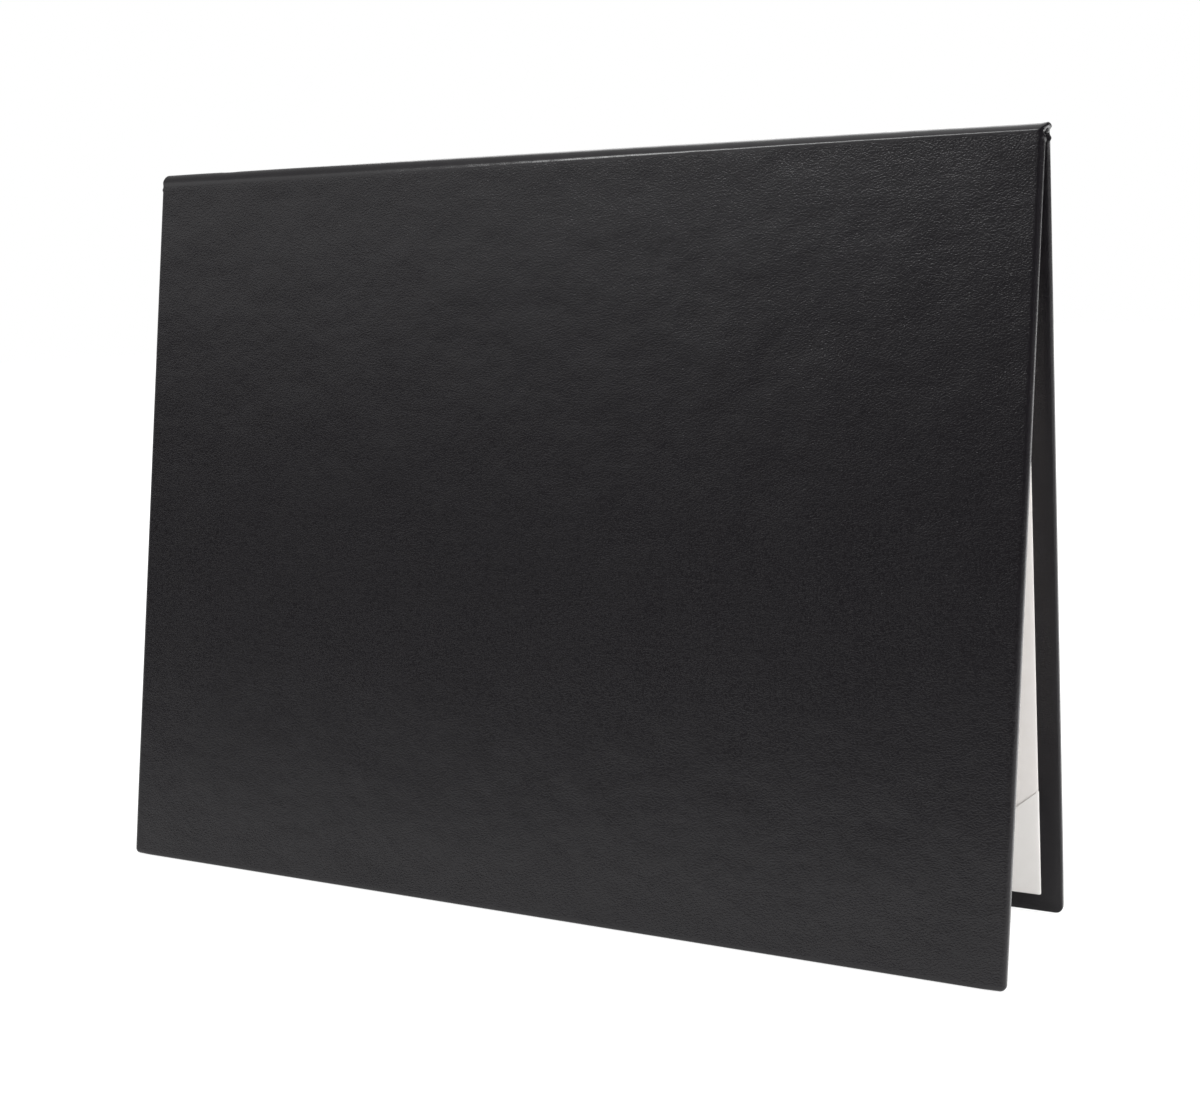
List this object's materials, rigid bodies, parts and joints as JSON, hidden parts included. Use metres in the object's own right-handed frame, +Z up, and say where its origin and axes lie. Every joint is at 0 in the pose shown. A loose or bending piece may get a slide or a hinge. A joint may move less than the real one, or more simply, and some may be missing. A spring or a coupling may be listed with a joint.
{
  "type": "document cover",
  "caption": "Landscape certificate cover standing as a tent: two leatherette-wrapped boards hinged along the top, white linings and paper corner pockets inside.",
  "frame": {"origin": "on the floor, halfway between the feet of the two leaning panels, under the middle of the fold", "axes": "+X along the fold, -Y towards the front panel, +Z up"},
  "size_m": [0.2922, 0.0708, 0.226],
  "materials": {
    "leatherette": "black pebble-grained leatherette, low sheen",
    "hinge_leatherette": "black grained leatherette strip",
    "greyboard": "grey-brown pressed board",
    "lining_paper": "matt off-white paper",
    "pocket_paper": "smooth off-white paper"
  },
  "bodies": {
    "spine": {"spine_cover": "leatherette", "spine_hinge_strip": "hinge_leatherette"},
    "front_panel": {"front_cover": "leatherette", "front_board": "greyboard", "front_hinge_strip": "hinge_leatherette", "front_lining": "lining_paper"},
    "rear_panel": {"rear_cover": "leatherette", "rear_board": "greyboard", "rear_hinge_strip": "hinge_leatherette", "rear_lining": "lining_paper", "pocket_upper_left": "pocket_paper", "pocket_upper_right": "pocket_paper", "pocket_lower_left": "pocket_paper", "pocket_lower_right": "pocket_paper"}
  },
  "joints": [
    {"name": "rear_hinge", "type": "hinge", "parent": "spine", "child": "rear_panel", "pos_m": [0, 0.00405, 0.22362], "axis": [1, 0, 0], "range_deg": [-8, 82]},
    {"name": "front_hinge", "type": "hinge", "parent": "spine", "child": "front_panel", "pos_m": [0, -0.00405, 0.22362], "axis": [-1, 0, 0], "range_deg": [-8, 82]}
  ],
  "couplings": [
    {"joint": "front_hinge", "follows": "rear_hinge", "ratio": 1}
  ]
}
